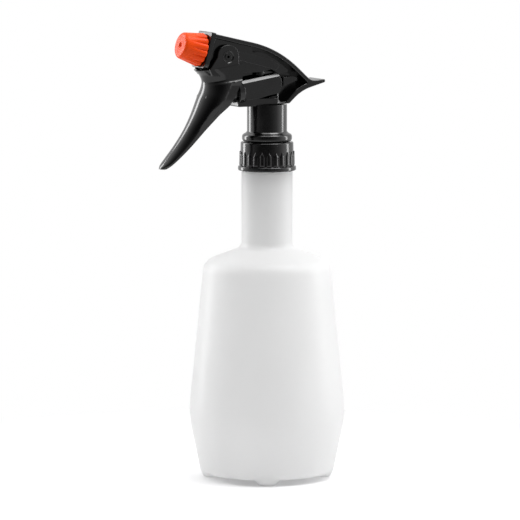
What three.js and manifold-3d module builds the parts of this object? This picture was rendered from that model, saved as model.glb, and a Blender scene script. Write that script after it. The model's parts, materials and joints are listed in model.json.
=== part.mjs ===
// Hand mister: a trigger sprayer head screwed on a one-litre bottle.
// Millimetres, +Z up. The nozzle points towards -X and the bottle stands on z = 0.
import * as THREE from 'three';
import { mergeVertices } from 'three/addons/utils/BufferGeometryUtils.js';
import Module from 'manifold-3d';

const wasm = await Module();
wasm.setup();

// ---- Driving dimensions -------------------------------------------------

const GAP = 0.3;                // clearance left between pieces that touch
const AXIS_X = 13;              // bottle axis, so that the whole is centred on the origin
const DEG = Math.PI / 180;
const ARC_STEP = 31 * DEG;      // turn between two points of an arc
const PAST = 5;                 // how far a cutting tool reaches past the face that it opens

const BOTTLE = {
  wall: 1.2,
  floorZ: 3,                    // underside of the floor, above the feet
  baseR: 42,
  bellyR: 49.6,                 // widest ring before its edge is rounded
  bellyZ: 40.5,
  shoulderR: 39.9,
  shoulderZ: 137.1,
  neckR: 16.1,
  neckTopZ: 194.2,
  finishR: 12.4,                // root of the screw thread
  rimZ: 206.3,
  mouthR: 10.8,
  segments: 32,
};
const FOOT = { count: 4, firstAngle: 243 * DEG, ringR: 37, radial: 6.2, tangential: 8.2, height: 4, centreZ: 3.2 };
const THREAD = { pitch: 4.2, turns: 1.15, startZ: 198, rootWidth: 2.2, crestWidth: 1, stepsPerTurn: 20 };
const BOTTLE_THREAD_R = 13.7;   // crest of the bottle's thread

const RING = {
  bottomZ: 194.8,
  topZ: 212.8,
  topR: 16.6,
  skirtR: 16.9,
  flangeR: 18.3,
  flangeH: 2.6,
  boreR: 14.1,
  threadCrestR: 12.8,
  lip: 2,                       // thickness of the lip that holds the head down
  holeR: 12.6,
  ribs: 24,
  ribTopZ: 207,
  ribProud: 0.6,
  ribWidth: 1.1,
  segments: 40,
};

const NECK = {
  flangeZ: 208.4,               // underside of the flange that the ring clamps
  flangeR: 13.5,
  flangeH: 1.8,
  waistR: 12.2,
  beadBottomZ: 213.1,
  beadTopZ: 218.2,
  beadR: 15.75,
  tubeR: 12.6,
  innerR: 11,
  roofZ: 235.7,                 // top of the tube, under the barrel block
  roof: 1.5,
};

const PIVOT = { x: -32.5, z: 267.7, bossR: 6, bossHalf: 8.2, trunnionR: 3.6, trunnionIn: 5.5 };

// The barrel's own axis: t runs rearwards and up from the centre of its front face.
const BARREL = {
  frontX: -21.5,
  frontZ: 245.4,
  tilt: 9 * DEG,
  outerR: 8.3,
  boreR: 7,
  length: 26,
  boreDepth: 24,
  blockHalf: 9,
  collarR: 9.5,
  collarHalf: 2,
  baseHalf: 6.5,                // half width of the block between the neck's roof and the barrel
  rib: 0.8,                     // half thickness of the ribs in the middle plane
};
/** Ribs in the middle plane, under the barrel and between the barrel and the discharge tube, and a buttress. */
const LOWER_RIB = [[-20, 238], [5.8, 235.9], [7.2, 240], [7.2, 246], [-20, 246]];
const UPPER_RIB = [[-19.5, 250], [-6, 250], [-6, 259.5], [-19.5, 262.5]];
const BUTTRESS = { outline: [[-6, 250], [7, 250], [7, 255.9], [3.5, 257.4], [-6, 257.9]], half: 4 };

const PISTON = { r: 6.6, rearT: 5, sleeveFrontT: -11, noseR: 3.2, noseT: -19.5, boreR: 4.5, boreFrontT: -8 };
const SPRING = { meanR: 3.6, wireR: 0.45, turns: 8, stepsPerTurn: 10, sides: 5 };

// The nozzle's own axis: s runs forwards and up from the middle of the front plate's front face.
const NOZZLE = { x: -46, z: 271.6, tilt: 14.5 * DEG };
const CAP = { length: 15.1, backR: 10.3, frontR: 7.8, lobes: 14, lobeDepth: 0.55, boreR: 5.9, boreDepth: 11.3 };
const TUBE = { dischargeR: 3.5, dischargeRearS: -46, dischargeBoreR: 1.6, dischargeBoreS: -41, socketR: 5,
  dipR: 2.9, dipBoreR: 2, dipBottomZ: 13.6 };

const INTAKE = {
  r: 3.7,
  socketR: 4.8,
  socketZ: 205,
  discR: 10.4,
  discZ: 208.7,
  discTopZ: 210.2,
  topZ: 237.6,
  tubeStopZ: 222,
  vent: { x: 7.5, r: 0.8 },
};
const INLET = { seatZ: 233.5, seatHoleR: 1.6, boreR: 4, bossR: 5.4, bossZ: 213, roofZ: 238, portR: 1.8,
  portTopZ: 246, cageR: 2.9 };
const OUTLET = { x: -6, portZ: 250, seatZ: 257.3, towerR: 4.6, towerZ: 248, towerTopZ: 265.2, chamberR: 3,
  seatHoleR: 1.5, plugZ: 262.9 };
const BALL_R = 2.3;
const FILTER = { r: 4.6, bottomZ: 8, topZ: 21, throatR: 2.2, slots: 3, slotZ: 11.6, slotHeight: 3.2, slotWidth: 1.2 };

const PUSH_PAD = { x: -43.7, z: 241.9, r: 2.4, half: 6.5 };
const SHROUD = {
  half: 9.5,
  plate: 3.2,                   // thickness of the front plate
  plateTop: 12.15,              // its edges above and below the nozzle's axis
  plateLow: 11,
  panelOut: 7.4,                // outer and inner faces of the side panels
  panelIn: 6.2,
  web: 0.8,                     // half thickness of the web
  spigotHoleR: 5.8,             // hole in the front plate round the nozzle's spigot
};
const TRIGGER = {
  wall: 1.8,
  topZ: 264,
  tipZ: 198.3,
  tipWall: 5,                   // solid end of the lever under its channel
  wingHalf: 11.5,
  half: 12.8,
  cheekOut: 10.9,
  cheekIn: 9.8,
  cheekR: 7.4,
  eyeR: 0.9,
};

// ---- Materials ----------------------------------------------------------

const plastic = (color, roughness) => new THREE.MeshStandardMaterial({ color, roughness, metalness: 0 });
const steel = new THREE.MeshStandardMaterial({ color: 0xb8bcc0, roughness: 0.25, metalness: 1 });
const milky = plastic(0xe6e8ea, 0.35);
const black = plastic(0x17181a, 0.3);
const orange = plastic(0xf0501f, 0.4);
const natural = plastic(0xdfe3e4, 0.45);
const sealGrey = plastic(0x4a4d50, 0.8);

// ---- Solids -------------------------------------------------------------

/** Closed three.js geometry as a manifold solid. */
function solid(geometry) {
  const bare = geometry.clone();
  bare.deleteAttribute('normal');
  bare.deleteAttribute('uv');
  const merged = mergeVertices(bare, 1e-4);
  return new wasm.Manifold(new wasm.Mesh({
    numProp: 3,
    vertProperties: new Float32Array(merged.attributes.position.array),
    triVerts: new Uint32Array(merged.index.array),
  }));
}

/** Manifold solid as a three.js geometry. */
function geometryOf(manifold) {
  const mesh = manifold.getMesh();
  const geometry = new THREE.BufferGeometry();
  geometry.setAttribute('position', new THREE.BufferAttribute(new Float32Array(mesh.vertProperties), 3));
  geometry.setIndex(new THREE.BufferAttribute(new Uint32Array(mesh.triVerts), 1));
  geometry.computeVertexNormals();
  return geometry;
}

const join = (...solids) => solids.reduce((all, next) => all.add(next));
const cut = (body, ...tools) => tools.reduce((left, tool) => left.subtract(tool), body);

/** Solid of revolution about Z from an (r, z) profile that starts and ends on the axis or closes on itself. */
function turned(profile, segments = 32) {
  const points = profile.map(([r, z]) => new THREE.Vector2(r, z));
  return solid(new THREE.LatheGeometry(points, segments).rotateX(Math.PI / 2));
}

/** Washer or tube between two radii. */
function tube(innerR, outerR, bottomZ, topZ, segments = 32) {
  return turned([[innerR, bottomZ], [outerR, bottomZ], [outerR, topZ], [innerR, topZ], [innerR, bottomZ]], segments);
}

/** Round bar along Z. */
function bar(r, bottomZ, topZ, segments = 32) {
  return turned([[0, bottomZ], [r, bottomZ], [r, topZ], [0, topZ]], segments);
}

/** Side view outline in (x, z), given its width across Y. */
function slab(outline, halfWidth) {
  const shape = new THREE.Shape(outline.map(([x, z]) => new THREE.Vector2(x, z)));
  const geometry = new THREE.ExtrudeGeometry(shape, { depth: 2 * halfWidth, bevelEnabled: false });
  return solid(geometry.rotateX(Math.PI / 2).translate(0, halfWidth, 0));
}

/** Box round the whole head, given its width across Y: cuts away what is between two sides. */
const acrossHead = (halfWidth) => slab([[-60, 230], [40, 230], [40, 290], [-60, 290]], halfWidth);

/** Round bar across Y. */
function crossBar(x, z, r, yFrom, yTo, segments = 24) {
  const geometry = new THREE.CylinderGeometry(r, r, yTo - yFrom, segments);
  return solid(geometry.translate(x, (yFrom + yTo) / 2, z));
}

/** Solid skin over rings of equal length; every ring is star shaped about its middle. */
function loft(rings) {
  const size = rings[0].length;
  const positions = rings.flat().flatMap((p) => [p.x, p.y, p.z]);
  const triangles = [];
  for (let ring = 0; ring < rings.length - 1; ring += 1) {
    for (let i = 0; i < size; i += 1) {
      const a = ring * size + i;
      const b = ring * size + (i + 1) % size;
      triangles.push(a, b, a + size, b, b + size, a + size);
    }
  }
  for (const [ring, flip] of [[0, true], [rings.length - 1, false]]) {
    const middle = rings[ring].reduce((sum, p) => sum.add(p), new THREE.Vector3()).divideScalar(size);
    const centre = positions.length / 3;
    positions.push(middle.x, middle.y, middle.z);
    for (let i = 0; i < size; i += 1) {
      const a = ring * size + i;
      const b = ring * size + (i + 1) % size;
      triangles.push(...(flip ? [b, a, centre] : [a, b, centre]));
    }
  }
  const geometry = new THREE.BufferGeometry();
  geometry.setAttribute('position', new THREE.Float32BufferAttribute(positions, 3));
  geometry.setIndex(triangles);
  return solid(geometry);
}

// ---- Outlines -----------------------------------------------------------

/** Path through corners [x, y, fillet], each corner with a fillet turned into an arc. */
function rounded(corners) {
  const path = [];
  corners.forEach(([x, y, fillet], i) => {
    if (!fillet) {
      path.push([x, y]);
      return;
    }
    const corner = new THREE.Vector2(x, y);
    const back = new THREE.Vector2(...corners[i - 1].slice(0, 2)).sub(corner).normalize();
    const ahead = new THREE.Vector2(...corners[i + 1].slice(0, 2)).sub(corner).normalize();
    const half = Math.acos(THREE.MathUtils.clamp(back.dot(ahead), -1, 1)) / 2;
    const start = corner.clone().addScaledVector(back, fillet / Math.tan(half));
    const end = corner.clone().addScaledVector(ahead, fillet / Math.tan(half));
    const bisector = back.clone().add(ahead).normalize();
    const centre = corner.clone().addScaledVector(bisector, fillet / Math.sin(half));
    const from = start.clone().sub(centre).angle();
    let sweep = end.clone().sub(centre).angle() - from;
    if (sweep > Math.PI) sweep -= 2 * Math.PI;
    if (sweep < -Math.PI) sweep += 2 * Math.PI;
    const steps = Math.max(2, Math.ceil(Math.abs(sweep) / ARC_STEP));
    for (let k = 0; k <= steps; k += 1) {
      const angle = from + sweep * k / steps;
      path.push([centre.x + fillet * Math.cos(angle), centre.y + fillet * Math.sin(angle)]);
    }
  });
  return path;
}

/** The same corners moved sideways by distance, to the left of the direction of travel. */
function inset(corners, distance) {
  const normals = corners.slice(1).map(([x, y], i) => {
    const along = new THREE.Vector2(x - corners[i][0], y - corners[i][1]).normalize();
    return new THREE.Vector2(-along.y, along.x);
  });
  return corners.map(([x, y, fillet], i) => {
    const before = normals[Math.max(i - 1, 0)];
    const after = normals[Math.min(i, normals.length - 1)];
    const reach = distance / (1 + before.dot(after));
    const leftTurn = before.cross(after) > 0;
    const radius = fillet ? Math.max(fillet + (leftTurn ? -distance : distance), 0.3) : 0;
    return [x + (before.x + after.x) * reach, y + (before.y + after.y) * reach, radius];
  });
}

/** Smooth value at z through [z, value] pairs that run downwards. */
function valueAt(pairs, z) {
  const curve = new THREE.SplineCurve(pairs.map(([height, value]) => new THREE.Vector2(height, value)));
  let low = 0;
  let high = 1;
  for (let i = 0; i < 30; i += 1) {
    const middle = (low + high) / 2;
    if (curve.getPoint(middle).x > z) low = middle;
    else high = middle;
  }
  return curve.getPoint(low).y;
}

// ---- Bottle -------------------------------------------------------------

/** One screw thread, right handed: a ridge from the wall at rootR to its crest at crestR. */
function screwThread(rootR, crestR, startZ) {
  const embed = Math.sign(rootR - crestR) * 0.4;
  const steps = Math.round(THREAD.turns * THREAD.stepsPerTurn);
  const rings = [];
  for (let i = 0; i <= steps; i += 1) {
    const angle = 2 * Math.PI * i / THREAD.stepsPerTurn;
    const z = startZ + THREAD.pitch * i / THREAD.stepsPerTurn;
    const rise = Math.min(1, (i + 0.4) / 3, (steps - i + 0.4) / 3);
    const crest = rootR + (crestR - rootR) * rise;
    const point = (r, height) => new THREE.Vector3(r * Math.cos(angle), r * Math.sin(angle), z + height);
    const ring = [
      point(rootR + embed, -THREAD.rootWidth / 2),
      point(crest, -THREAD.crestWidth / 2),
      point(crest, THREAD.crestWidth / 2),
      point(rootR + embed, THREAD.rootWidth / 2),
    ];
    rings.push(crestR > rootR ? ring.reverse() : ring);
  }
  return loft(rings);
}

function foot(index) {
  const angle = FOOT.firstAngle + index * 2 * Math.PI / FOOT.count;
  const ball = new THREE.SphereGeometry(1, 12, 8)
    .rotateX(Math.PI / 2)
    .scale(FOOT.radial, FOOT.tangential, FOOT.height)
    .translate(FOOT.ringR, 0, FOOT.centreZ)
    .rotateZ(angle);
  const below = new THREE.BoxGeometry(200, 200, 10).translate(0, 0, -5);
  return cut(solid(ball), solid(below));
}

function bottle() {
  const b = BOTTLE;
  const outside = [
    [0, b.floorZ + 3, 0],
    [30, b.floorZ + 0.4, 12],
    [b.baseR, b.floorZ, 5],
    [b.bellyR, b.bellyZ, 60],
    [b.shoulderR, b.shoulderZ, 9],
    [b.neckR, b.shoulderZ + 9.2, 5],
    [b.neckR, b.neckTopZ, 1.2],
    [b.finishR, b.neckTopZ + 0.4, 0.8],
    [b.finishR, b.rimZ, 0],
  ];
  const inside = inset(outside, b.wall).slice(0, -3);
  inside.push([b.neckR - b.wall, b.neckTopZ - 3, 1], [b.mouthR, b.neckTopZ - 1, 1], [b.mouthR, b.rimZ, 0]);
  inside[0][0] = 0;
  const hollow = turned([...rounded(inside), [b.mouthR, b.rimZ + PAST], [0, b.rimZ + PAST]], b.segments);
  const feet = Array.from({ length: FOOT.count }, (_, i) => foot(i));
  const thread = screwThread(b.finishR, BOTTLE_THREAD_R, THREAD.startZ);
  return cut(join(turned([...rounded(outside), [0, b.rimZ]], b.segments), thread, ...feet), hollow);
}

// ---- Closure ------------------------------------------------------------

function closureRing() {
  const r = RING;
  const outside = [
    [0, r.bottomZ, 0],
    [r.flangeR, r.bottomZ, 0.6],
    [r.flangeR, r.bottomZ + r.flangeH, 0.8],
    [r.skirtR, r.bottomZ + r.flangeH + 0.5, 0],
    [r.topR, r.topZ, 0.8],
    [0, r.topZ, 0],
  ];
  const ribs = Array.from({ length: r.ribs }, (_, i) => {
    const bottomZ = r.bottomZ + r.flangeH;
    const wide = new THREE.BoxGeometry(3, r.ribWidth, r.ribTopZ - bottomZ)
      .translate(r.skirtR + r.ribProud - 1.5, 0, (r.ribTopZ + bottomZ) / 2)
      .rotateZ(2 * Math.PI * (i + 0.5) / r.ribs);
    return solid(wide);
  });
  const bore = bar(r.boreR, r.bottomZ - PAST, r.topZ - r.lip, r.segments);
  const hole = bar(r.holeR, r.bottomZ, r.topZ + PAST, r.segments);
  const shell = cut(join(turned(rounded(outside), r.segments), ...ribs), bore, hole);
  return join(shell, screwThread(r.boreR, r.threadCrestR, THREAD.startZ + THREAD.pitch / 2));
}

const neckGasket = () => tube(9.4, 13.2, BOTTLE.rimZ + GAP, NECK.flangeZ - GAP);

// ---- Head: body and valves ----------------------------------------------

/** Turns a solid made along +Z so that it lies along the barrel, with t measured from the front face. */
function alongBarrel(made) {
  return made.rotate([0, 90 - BARREL.tilt / DEG, 0]).translate([BARREL.frontX, 0, BARREL.frontZ]);
}

/** Turns a solid made along +Z so that it lies along the nozzle's axis. */
function alongNozzle(made) {
  return made.rotate([0, NOZZLE.tilt / DEG - 90, 0]).translate([NOZZLE.x, 0, NOZZLE.z]);
}

/** Flat-sided block round the barrel, seen from the side. */
function barrelBlock() {
  const slope = Math.tan(BARREL.tilt);
  const centreZ = (x) => BARREL.frontZ + (x - BARREL.frontX) * slope;
  const outline = rounded([
    [-22, centreZ(-22) + 5.9, 0],
    [3.6, centreZ(3.6) + 6.2, 3.5],
    [6.9, centreZ(6.9) - 1.2, 6],
    [4, centreZ(4) - 6, 1.5],
    [-4.5, centreZ(-4.5) - 6, 6],
    [-9.5, centreZ(-9.5) - 6, 0],
    [-19, centreZ(-19) - 5.9, 0],
  ]);
  return slab(outline, BARREL.blockHalf);
}

function neckTube() {
  const n = NECK;
  return turned(rounded([
    [0, n.flangeZ, 0],
    [n.flangeR, n.flangeZ, 0],
    [n.flangeR, n.flangeZ + n.flangeH, 0],
    [n.waistR, n.flangeZ + n.flangeH, 0],
    [n.waistR, n.beadBottomZ, 0],
    [n.beadR, n.beadBottomZ, 1.6],
    [n.beadR, n.beadTopZ - 1.2, 2.2],
    [n.tubeR + 1, n.beadTopZ, 0],
    [n.tubeR, n.beadTopZ + 0.8, 0],
    [n.tubeR, n.roofZ + 1, 0],
    [0, n.roofZ + 1, 0],
  ]), 36);
}

function pumpBody() {
  const b = BARREL;
  const n = NECK;
  const basePlate = slab([[-23.4, n.roofZ], [4.5, n.roofZ], [4.5, 240.5], [-23.4, 241]], b.baseHalf);
  const ribs = join(slab(LOWER_RIB, b.rib), slab(UPPER_RIB, b.rib), slab(BUTTRESS.outline, BUTTRESS.half));
  const intakeBoss = bar(INLET.bossR, INLET.bossZ, INLET.roofZ + 1, 24);
  const tower = bar(OUTLET.towerR, OUTLET.towerZ, OUTLET.towerTopZ, 24).translate([OUTLET.x, 0, 0]);
  const discharge = alongNozzle(bar(TUBE.dischargeR, TUBE.dischargeRearS, -10, 20));
  const socket = alongNozzle(bar(TUBE.socketR, -14, -SHROUD.plate - GAP, 24));
  const pivotBoss = crossBar(PIVOT.x, PIVOT.z, PIVOT.bossR, -PIVOT.bossHalf, PIVOT.bossHalf);
  const collar = bar(b.collarR, -b.collarHalf, b.collarHalf);
  const barrel = alongBarrel(join(bar(b.outerR, -b.collarHalf, b.length), collar));
  const hollow = cut(bar(n.innerR, n.flangeZ - PAST, n.roofZ - n.roof, 32), intakeBoss);
  const lower = join(neckTube(), basePlate, ribs, barrel, barrelBlock());
  const body = cut(join(lower, tower, discharge, socket, pivotBoss), hollow);

  const barrelBore = alongBarrel(bar(b.boreR, -b.collarHalf - PAST, b.boreDepth));
  const intakeBore = bar(INLET.boreR, n.flangeZ - PAST, INLET.roofZ, 24);
  const inletPort = bar(INLET.portR, INLET.roofZ - 1, INLET.portTopZ, 16);
  const outletPort = bar(OUTLET.seatHoleR, OUTLET.portZ, OUTLET.seatZ + 1, 16).translate([OUTLET.x, 0, 0]);
  const chamber = bar(OUTLET.chamberR, OUTLET.seatZ, OUTLET.towerTopZ + PAST, 20).translate([OUTLET.x, 0, 0]);
  const overTower = bar(OUTLET.towerR + 0.1, OUTLET.towerTopZ, OUTLET.towerTopZ + PAST, 20);
  const plugSeat = overTower.translate([OUTLET.x, 0, 0]);
  const dischargeBore = alongNozzle(bar(TUBE.dischargeBoreR, TUBE.dischargeBoreS, 0, 16));
  const spigotBore = alongNozzle(bar(3.2, -12, 0, 20));
  const pivotBores = [-1, 1].map((side) => (
    sideBar(side, PIVOT.trunnionR + GAP, PIVOT.trunnionIn - GAP, PIVOT.bossHalf + PAST, 24)
  ));
  return cut(
    body, barrelBore, intakeBore, inletPort, outletPort, chamber, plugSeat, dischargeBore, spigotBore,
    ...pivotBores,
  );
}

/** Stem that holds the dip tube and the inlet valve, with a disc that closes the neck and vents it. */
function intakeHousing() {
  const i = INTAKE;
  const profile = [
    [0, i.socketZ], [i.socketR, i.socketZ], [i.socketR, i.discZ], [i.discR, i.discZ], [i.discR, i.discTopZ],
    [i.r, i.discTopZ + 1.2], [i.r, i.topZ], [0, i.topZ],
  ];
  const tubeSocket = bar(TUBE.dipR + GAP, i.socketZ - PAST, i.tubeStopZ, 24);
  const channel = bar(INLET.seatHoleR, i.tubeStopZ - 1, INLET.seatZ + 1, 16);
  const cage = bar(INLET.cageR, INLET.seatZ, i.topZ + PAST, 20);
  const vent = bar(i.vent.r, i.socketZ, i.discTopZ + PAST, 12).translate([i.vent.x, 0, 0]);
  return cut(turned(profile, 32), tubeSocket, channel, cage, vent);
}

/** Height of a ball's centre over the round seat edge that it rests on, with its clearance. */
const restHeight = (holeR) => Math.sqrt(BALL_R ** 2 - holeR ** 2) + 0.15;

const valveBall = () => solid(new THREE.SphereGeometry(BALL_R, 16, 12));

function outletPlug() {
  const stem = bar(OUTLET.chamberR - GAP, OUTLET.plugZ, OUTLET.towerTopZ + 0.5, 20);
  const cap = bar(OUTLET.towerR - 0.6, OUTLET.towerTopZ + GAP, OUTLET.towerTopZ + 1.3, 24);
  return join(stem, cap);
}

const dipTube = () => tube(TUBE.dipBoreR, TUBE.dipR, TUBE.dipBottomZ, INTAKE.tubeStopZ - GAP, 20);

/** Slotted strainer cup on the end of the dip tube. */
function tubeFilter() {
  const f = FILTER;
  const profile = [
    [0, f.bottomZ], [f.r - 0.4, f.bottomZ], [f.r, f.bottomZ + 1], [f.r, f.topZ - 1], [f.r - 0.7, f.topZ], [0, f.topZ],
  ];
  const socket = bar(TUBE.dipR + GAP, TUBE.dipBottomZ - GAP, f.topZ + PAST, 20);
  const throat = bar(f.throatR, f.bottomZ + 1, TUBE.dipBottomZ, 16);
  const slots = Array.from({ length: f.slots }, (_, i) => {
    const slot = new THREE.BoxGeometry(3 * f.r, f.slotWidth, f.slotHeight).translate(0, 0, f.slotZ);
    return solid(slot.rotateZ(i * Math.PI / f.slots));
  });
  return cut(turned(profile, 24), socket, throat, ...slots);
}

// ---- Head: piston and spring --------------------------------------------

function piston() {
  const p = PISTON;
  const profile = [
    [0, p.noseT], [p.noseR, p.noseT], [p.noseR, p.sleeveFrontT], [p.r - 1, p.sleeveFrontT], [p.r, p.sleeveFrontT + 1],
    [p.r, 1.6], [5.6, 1.6], [5.6, 4], [p.r, 4], [p.r, p.rearT], [p.boreR, p.rearT], [p.boreR, p.boreFrontT],
    [0, p.boreFrontT],
  ];
  return turned(profile, 28);
}

const pistonSeal = () => tube(5.6 + GAP, 6.75, 1.6 + GAP, 4 - GAP);

/** Coil spring from the piston's bore to the barrel's rear wall, along t. */
function returnSpring() {
  const s = SPRING;
  const front = PISTON.boreFrontT + GAP + s.wireR;
  const rear = BARREL.boreDepth - GAP - s.wireR;
  const steps = s.turns * s.stepsPerTurn;
  const rings = [];
  for (let i = 0; i <= steps; i += 1) {
    const angle = 2 * Math.PI * i / s.stepsPerTurn;
    const out = new THREE.Vector3(Math.cos(angle), Math.sin(angle), 0);
    const centre = out.clone().multiplyScalar(s.meanR).setZ(front + (rear - front) * i / steps);
    rings.push(Array.from({ length: s.sides }, (_, k) => {
      const turn = 2 * Math.PI * k / s.sides;
      return centre.clone().addScaledVector(out, s.wireR * Math.cos(turn)).add(
        new THREE.Vector3(0, 0, s.wireR * Math.sin(turn)),
      );
    }).reverse());
  }
  return loft(rings);
}

// ---- Trigger ------------------------------------------------------------

// Front and rear edges of the lever in side view, and its half width, as [z, value] pairs.
const TRIGGER_FRONT = [[264, -52], [259.4, -50.2], [255.6, -46.2], [250, -44.6], [241.4, -48], [231.6, -52.3],
  [221.7, -57.9], [212, -64.8], [203.5, -71.8], [200.4, -74.2], [198.2, -75.2]];
const TRIGGER_REAR = [[264, -22.8], [256, -22.8], [251.4, -24.2], [238.1, -31.4], [231.4, -38.5], [222.4, -46.8],
  [212.8, -55.8], [205.6, -63.4], [200.9, -68.9], [198.2, -72.2]];
const TRIGGER_HALF = [[264, TRIGGER.wingHalf], [253.8, TRIGGER.wingHalf], [251.6, TRIGGER.half], [241, TRIGGER.half],
  [236, 12.2], [229, 10], [222, 8.1], [204, 6.2], [200.5, 5.4], [198.6, 3.6], [198.2, 3]];
// The wings' sloping top edge, from the front of the lever to its rear.
const WING_TOP = [[-60, 257.4], [-15, 264.4]];

/** D-shaped level section of the lever: rounded in front, straight at the sides. */
function triggerSection(z, wall, behind) {
  const front = valueAt(TRIGGER_FRONT, z) + wall * 1.2;
  const rear = valueAt(TRIGGER_REAR, z) + behind;
  const half = valueAt(TRIGGER_HALF, z) - wall;
  const nose = Math.min(half * 0.95, (rear - front) * 0.75);
  const ring = [new THREE.Vector3(rear, -half, z)];
  const steps = 12;
  for (let i = 0; i <= steps; i += 1) {
    const angle = -Math.PI / 2 + Math.PI * i / steps;
    ring.push(new THREE.Vector3(front + nose * (1 - Math.cos(angle)), half * Math.sin(angle), z));
  }
  ring.push(new THREE.Vector3(rear, half, z));
  return ring.reverse();
}

function triggerLoft(topZ, bottomZ, wall, behind) {
  const steps = 18;
  return loft(Array.from({ length: steps + 1 }, (_, i) => {
    const z = bottomZ + (topZ - bottomZ) * i / steps;
    return triggerSection(z, wall, behind);
  }));
}

/** One cheek on each side, from the wings up round the pivot. */
function triggerCheeks() {
  const reach = TRIGGER.cheekR;
  const outline = rounded([
    [-45, 256, 0],
    [-23.4, 254, 0],
    [-22.8, 262.8, 2],
    [-25.2, 263.2, 0],
    [PIVOT.x + reach, PIVOT.z, 0],
    [PIVOT.x + reach, PIVOT.z + reach, 5],
    [PIVOT.x - reach, PIVOT.z + reach, 5],
    [PIVOT.x - reach, PIVOT.z, 0],
    [-45.4, 259.8, 0],
  ]);
  return cut(slab(outline, TRIGGER.cheekOut), acrossHead(TRIGGER.cheekIn));
}

/** Round bar on the pivot's axis on one side of the head, from inner to outer. */
const sideBar = (side, r, inner, outer, segments) => (
  crossBar(PIVOT.x, PIVOT.z, r, Math.min(side * inner, side * outer), Math.max(side * inner, side * outer), segments)
);

function trigger() {
  const t = TRIGGER;
  const above = slab([...WING_TOP, [-15, 290], [-60, 290]], 20);
  const grip = cut(triggerLoft(t.topZ, t.tipZ, 0, 0), above);
  const channel = triggerLoft(t.topZ + 3, t.tipZ + t.tipWall, t.wall, 12);
  const push = crossBar(PUSH_PAD.x, PUSH_PAD.z, PUSH_PAD.r, -PUSH_PAD.half, PUSH_PAD.half, 20);
  const trunnions = [-1, 1].map((side) => sideBar(side, PIVOT.trunnionR, PIVOT.trunnionIn, t.cheekOut - 0.3, 24));
  const eyes = [-1, 1].map((side) => sideBar(side, t.eyeR, t.cheekOut - 4, t.cheekOut + 4, 12));
  return cut(join(cut(grip, channel), triggerCheeks(), push, ...trunnions), ...eyes);
}

// ---- Shroud -------------------------------------------------------------

/** Corners of the shroud's outer side: along the back, round the tail and down the rear strip to the neck. */
const SHROUD_OUTSIDE = [
  [-43, 282.7, 0],
  [-5.5, 273.9, 71],
  [10.7, 265.4, 71],
  [26.9, 250.6, 7],
  [36.6, 251.6, 0.9],
  [36.4, 249.6, 0.9],
  [19.8, 244.9, 28],
  [11.1, 237, 0],
];
/** Corners of its inner side, from the neck back up to the front plate. */
const SHROUD_INSIDE = [
  [7.6, 237, 0],
  [18.1, 247.7, 18],
  [24.4, 249.5, 0.8],
  [9.2, 263.2, 68],
  [-6.5, 271.5, 68],
  [-43, 280, 0],
];
/** Free edge of a side panel, from under the back strip round the rear tip and forwards over the barrel. */
const PANEL_EDGE = [[-10, 270.6], [-4, 268.4], [3, 264.4], [7.7, 260.8], [12, 257.2], [6.3, 255.9], [3.8, 256.2],
  [-0.5, 258.8], [-7.3, 257.3], [-21, 257], [-33, 257.6], [-45, 261]];
/** Tongue that the web carries behind the barrel. */
const TONGUE = [[7.6, 253.5], [14.5, 254], [17.6, 253], [17.6, 251.2], [7.6, 247.8]];
/** Stiffening web in the middle plane, along the back strip and the rear strip. */
const WEB = [[-14, 268.2], [0, 267.2], [0, 258.5], [4.8, 258.1], [7.8, 256.8], [7.8, 238.8], [9.8, 237.2],
  [14, 241], [19.5, 246.8], [25, 250.4], [14.5, 260], [3, 267.8], [-14, 274.2]];

/** Panels on both sides under the back strip, cut out round the trigger's pivot. */
function shroudPanels(inside) {
  const s = SHROUD;
  const under = inside.filter(([x]) => x < PANEL_EDGE[0][0] - 4).reverse();
  const seatR = PIVOT.bossR + 0.4;
  const seat = crossBar(PIVOT.x, PIVOT.z, seatR, -s.half, s.half);
  const mouth = [[-seatR, -18], [seatR, -18], [seatR, 0], [-seatR, 0]].map(([x, z]) => [PIVOT.x + x, PIVOT.z + z]);
  return cut(slab([...under, ...PANEL_EDGE], s.panelOut), acrossHead(s.panelIn), seat, slab(mouth, s.half));
}

function shroud() {
  const s = SHROUD;
  const inside = rounded(SHROUD_INSIDE);
  const strips = slab([...rounded(SHROUD_OUTSIDE), ...inside], s.half);
  const web = join(slab(WEB, s.web), slab(TONGUE, s.panelOut));
  const spigotHole = alongNozzle(bar(s.spigotHoleR, -20, 5, 24));
  return cut(join(strips, web, alongNozzle(frontPlate()), shroudPanels(inside)), spigotHole);
}

/** Front plate in the nozzle's own axes: x across the plate upwards, z forwards. */
function frontPlate() {
  const s = SHROUD;
  const shape = new THREE.Shape(rounded([
    [0, -s.half, 0],
    [s.plateTop, -s.half, 2],
    [s.plateTop, s.half, 2],
    [-s.plateLow, s.half, 3],
    [-s.plateLow, -s.half, 3],
    [0, -s.half, 0],
  ]).slice(0, -1).map(([x, y]) => new THREE.Vector2(x, y)));
  return solid(new THREE.ExtrudeGeometry(shape, { depth: s.plate, bevelEnabled: false }).translate(0, 0, -s.plate));
}

// ---- Nozzle -------------------------------------------------------------

function nozzleSpigot() {
  const profile = [[0, -11], [2.9, -11], [2.9, -SHROUD.plate], [5.4, -SHROUD.plate], [5.4, 9.2], [0, 9.2]];
  return cut(turned(profile, 24), bar(1.3, -15, 2, 16), bar(3.2, 1, 15, 20));
}

function spinner() {
  const slots = [0, 1].map((i) => {
    const slot = new THREE.BoxGeometry(8, 0.9, 1).translate(0, 1.2, 9.4);
    return solid(slot.rotateZ(i * Math.PI));
  });
  const flats = [-1, 1].map((side) => solid(new THREE.BoxGeometry(2, 8, 7).translate(side * 3.2, 0, 4.5)));
  return cut(bar(2.9, 1.3, 9.4, 20), ...slots, ...flats);
}

const nozzleSeal = () => tube(3.5, 5.3, 9.2 + GAP, 11.2, 24);

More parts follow.
